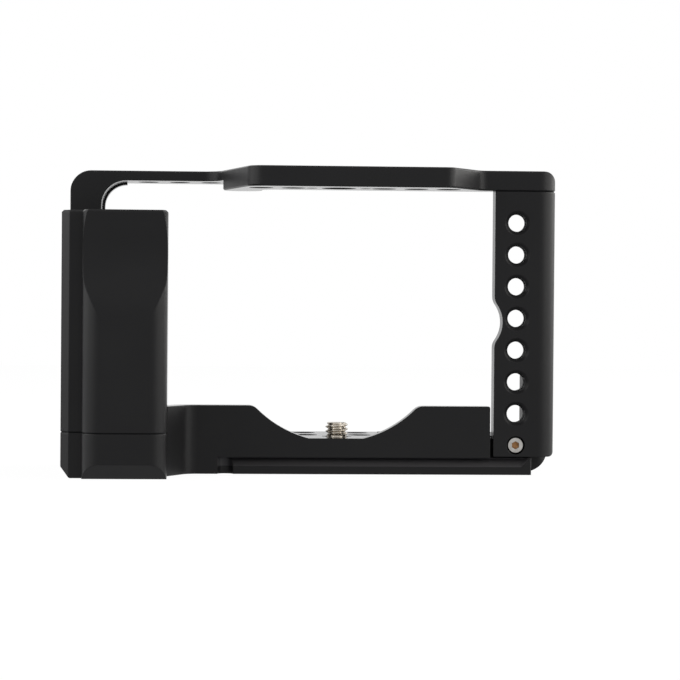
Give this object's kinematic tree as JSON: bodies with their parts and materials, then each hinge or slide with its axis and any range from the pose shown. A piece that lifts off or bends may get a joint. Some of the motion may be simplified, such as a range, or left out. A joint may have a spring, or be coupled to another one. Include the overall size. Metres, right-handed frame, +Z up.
{
  "type": "camera cage",
  "caption": "Machined camera cage with a dovetail base, captive camera screw, hand-grip column, arched top plate and drilled side flange.",
  "frame": {"origin": "centre of the bounding box's underside, on the underside of the base", "axes": "+X to the right as seen from the front, +Y from the front to the back, +Z up; the lens looks along -Y"},
  "size_m": [0.137, 0.064, 0.085],
  "materials": {
    "anodised_black": "fine bead-blasted, satin black anodised",
    "steel": "bare turned steel",
    "dark_steel": "black oxide",
    "rubber": "matte black",
    "nylon": "natural, matte"
  },
  "bodies": {
    "cage": {"base_plate": "anodised_black", "top_plate": "anodised_black", "side_panel": "anodised_black", "grip_shell": "anodised_black", "panel_front_screw": "steel", "panel_side_screws": "dark_steel", "panel_top_screws": "dark_steel", "leg_screws": "dark_steel", "grip_screws": "dark_steel", "arch_screws": "dark_steel", "retaining_clip": "dark_steel", "panel_dowels": "dark_steel", "leg_dowel": "dark_steel", "grip_dowels": "dark_steel", "screw_ring": "rubber", "base_pad_left": "rubber", "base_pad_right": "rubber", "grip_pad": "rubber", "wall_pad": "rubber"},
    "washer": {"screw_washer": "nylon"},
    "screw": {"camera_screw": "steel"}
  },
  "joints": [
    {"name": "screw_lift", "type": "slide", "parent": "cage", "child": "washer", "axis": [0, 0, 1], "range_m": [-0.0031, 0]},
    {"name": "screw_turn", "type": "hinge", "parent": "washer", "child": "screw", "pos_m": [0.0078, 0.00505, 0], "axis": [0, 0, 1], "continuous": true}
  ]
}
